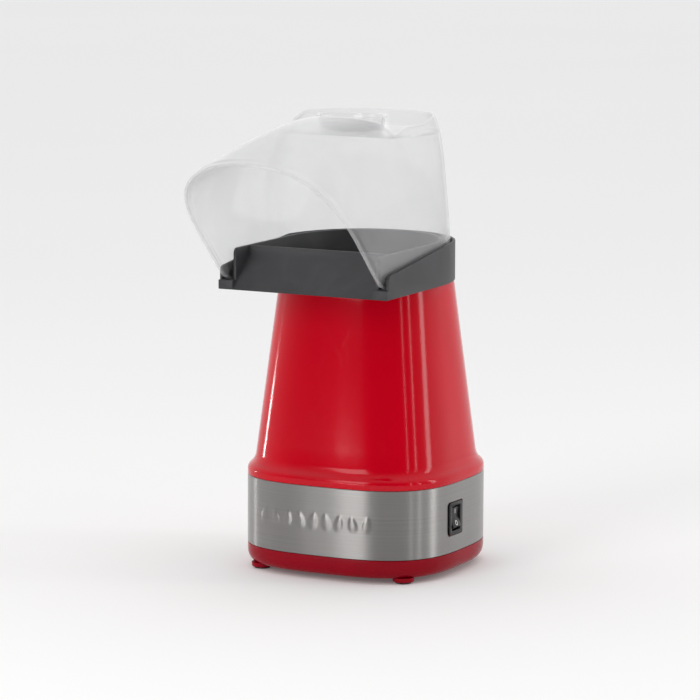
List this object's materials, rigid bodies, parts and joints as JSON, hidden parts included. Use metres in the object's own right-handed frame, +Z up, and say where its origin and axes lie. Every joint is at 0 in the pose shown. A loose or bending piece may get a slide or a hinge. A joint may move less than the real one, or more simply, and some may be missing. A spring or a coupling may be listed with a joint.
{
  "type": "popcorn maker",
  "caption": "Hot-air popcorn maker: tapered tower on a steel band, collar with a front chute, clear lift-off hood with a measuring cup, rocker switch, fan and heater inside.",
  "frame": {"origin": "on the table, under the middle of the whole appliance's bounding box", "axes": "+Z up; the chute and the hood's mouth open towards -Y; the switch is on the +X side"},
  "size_m": [0.2068, 0.3378, 0.425],
  "materials": {
    "red_shell": "glossy red moulded plastic",
    "red_base": "semi-gloss darker red moulded plastic",
    "steel_band": "steel sheet brushed round the tower",
    "collar_plastic": "charcoal moulded plastic with a fine grain",
    "clear_hood": "clear moulded plastic with a faint veil",
    "clear_cup": "clear moulded plastic",
    "black_plastic": "black moulded plastic",
    "rubber_feet": "black rubber",
    "chamber_metal": "drawn aluminium with a satin sheen",
    "plated_steel": "zinc-plated steel",
    "mica_board": "pressed mica sheet",
    "heating_wire": "oxidised resistance wire",
    "white_plastic": "off-white moulded plastic",
    "circuit_board": "green circuit laminate",
    "brass": "bare brass",
    "copper_winding": "enamelled copper winding on a steel core",
    "ferrite": "dark ferrite"
  },
  "bodies": {
    "tower": {"base_shell": "red_base", "steel_band": "steel_band", "body_shell": "red_shell", "foot_pad_front_left": "rubber_feet", "foot_pad_front_right": "rubber_feet", "foot_pad_back_left": "rubber_feet", "foot_pad_back_right": "rubber_feet", "base_screw_front_left": "plated_steel", "base_screw_front_right": "plated_steel", "base_screw_back_left": "plated_steel", "base_screw_back_right": "plated_steel", "collar": "collar_plastic", "collar_screw_front_left": "plated_steel", "collar_screw_front_right": "plated_steel", "collar_screw_back_left": "plated_steel", "collar_screw_back_right": "plated_steel", "switch_bezel": "black_plastic", "switch_terminal_front": "brass", "switch_terminal_back": "brass", "cord_gland": "black_plastic", "chassis": "collar_plastic", "motor_can": "plated_steel", "motor_end_cap": "black_plastic", "motor_magnet": "ferrite", "motor_bush_top": "brass", "motor_bush_bottom": "brass", "motor_screw_left": "plated_steel", "motor_screw_right": "plated_steel", "rectifier_board": "circuit_board", "diode_1": "black_plastic", "diode_2": "black_plastic", "diode_3": "black_plastic", "diode_4": "black_plastic", "popping_chamber": "chamber_metal", "air_duct": "plated_steel", "chamber_seal_ring": "plated_steel", "heater_frame": "mica_board", "heater_coil": "heating_wire", "dropper_coil": "heating_wire", "thermostat": "white_plastic", "thermal_fuse": "plated_steel", "lead_to_heater": "white_plastic", "lead_to_board": "black_plastic"},
    "hood": {"hood": "clear_hood"},
    "cup": {"measuring_cup": "clear_cup"},
    "rocker": {"switch_rocker": "black_plastic"},
    "fan": {"fan_impeller": "white_plastic", "motor_shaft": "plated_steel", "motor_armature": "copper_winding"}
  },
  "joints": [
    {"name": "hood_lift", "type": "slide", "parent": "tower", "child": "hood", "axis": [0, 0, 1], "range_m": [0, 0.15]},
    {"name": "cup_lift", "type": "slide", "parent": "hood", "child": "cup", "axis": [0, 0, 1], "range_m": [0, 0.08]},
    {"name": "rocker_tilt", "type": "hinge", "parent": "tower", "child": "rocker", "pos_m": [0.0968, 0.05268, 0.0547], "axis": [0, 1, 0], "range_deg": [0, 16]},
    {"name": "fan_spin", "type": "hinge", "parent": "tower", "child": "fan", "pos_m": [0, 0.07128, 0.087], "axis": [0, 0, 1], "continuous": true}
  ]
}
